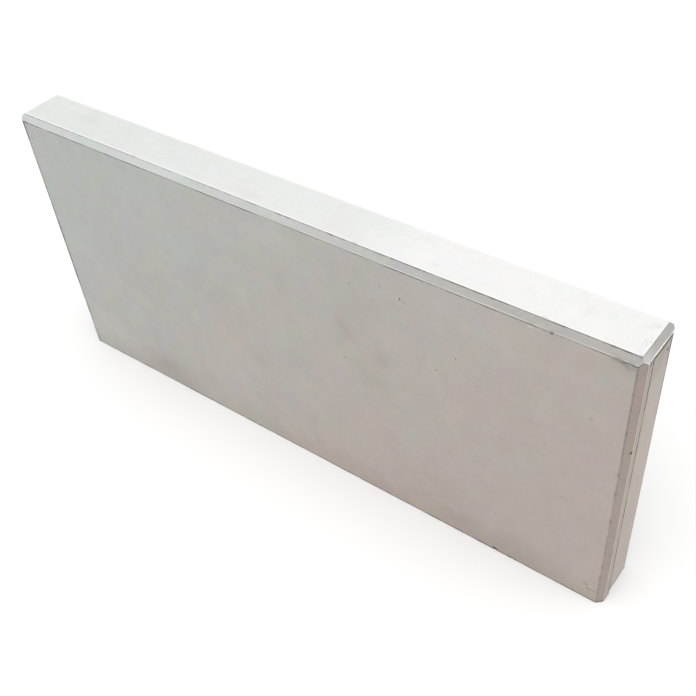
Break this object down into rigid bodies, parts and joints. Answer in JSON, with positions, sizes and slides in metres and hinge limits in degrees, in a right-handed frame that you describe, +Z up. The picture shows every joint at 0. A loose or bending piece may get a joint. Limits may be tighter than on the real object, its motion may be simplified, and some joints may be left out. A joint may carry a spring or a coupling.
{
  "type": "kerb stone",
  "caption": "Deep concrete kerb stone that stands on a long narrow bed, with chamfered top and upright edges and set-back end joints, for edging a path or pavement.",
  "frame": {"origin": "centre of the bounding box on the bed, the face that the stone stands on", "axes": "+X along the length, to the right when the front face is looked at; +Y from the front face to the back face; +Z up from the bed to the top face"},
  "size_m": [1, 0.08, 0.45],
  "materials": {
    "concrete": "smooth cast concrete, matt, with fine pores and faint stains"
  },
  "bodies": {
    "root": {"kerb_stone": "concrete"}
  },
  "joints": []
}
